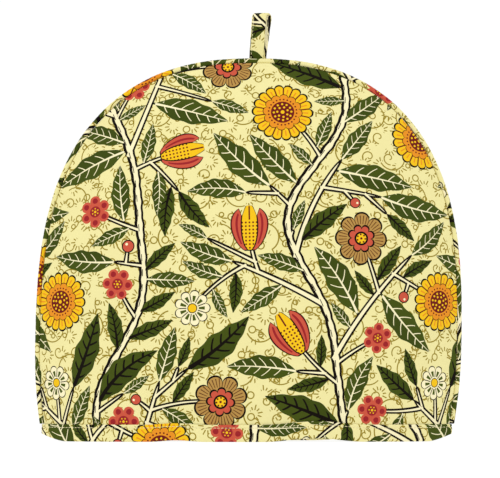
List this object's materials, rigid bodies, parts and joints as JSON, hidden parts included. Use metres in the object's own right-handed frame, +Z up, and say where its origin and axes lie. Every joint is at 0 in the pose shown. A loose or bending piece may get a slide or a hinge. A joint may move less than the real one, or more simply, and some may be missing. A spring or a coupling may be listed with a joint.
{
  "type": "tea cosy",
  "caption": "Padded cloth tea cosy with a rounded crown, piped seam, bound hem and hanging loop, standing on its hem.",
  "frame": {"origin": "middle of the cosy at table level", "axes": "+Z up; the front panel faces -Y; the seam between the panels lies in the plane y = 0; +X is to the right of someone facing the front"},
  "size_m": [0.3193, 0.1073, 0.3205],
  "materials": {
    "printed_cotton": "matt printed cotton over wadding",
    "piping_cotton": "matt printed cotton on a cord",
    "binding_cotton": "matt printed cotton, topstitched",
    "loop_cotton": "matt printed cotton, folded"
  },
  "bodies": {
    "root": {"front_panel": "printed_cotton", "back_panel": "printed_cotton", "piping": "piping_cotton", "hem_binding": "binding_cotton", "hanging_loop": "loop_cotton"}
  },
  "joints": []
}
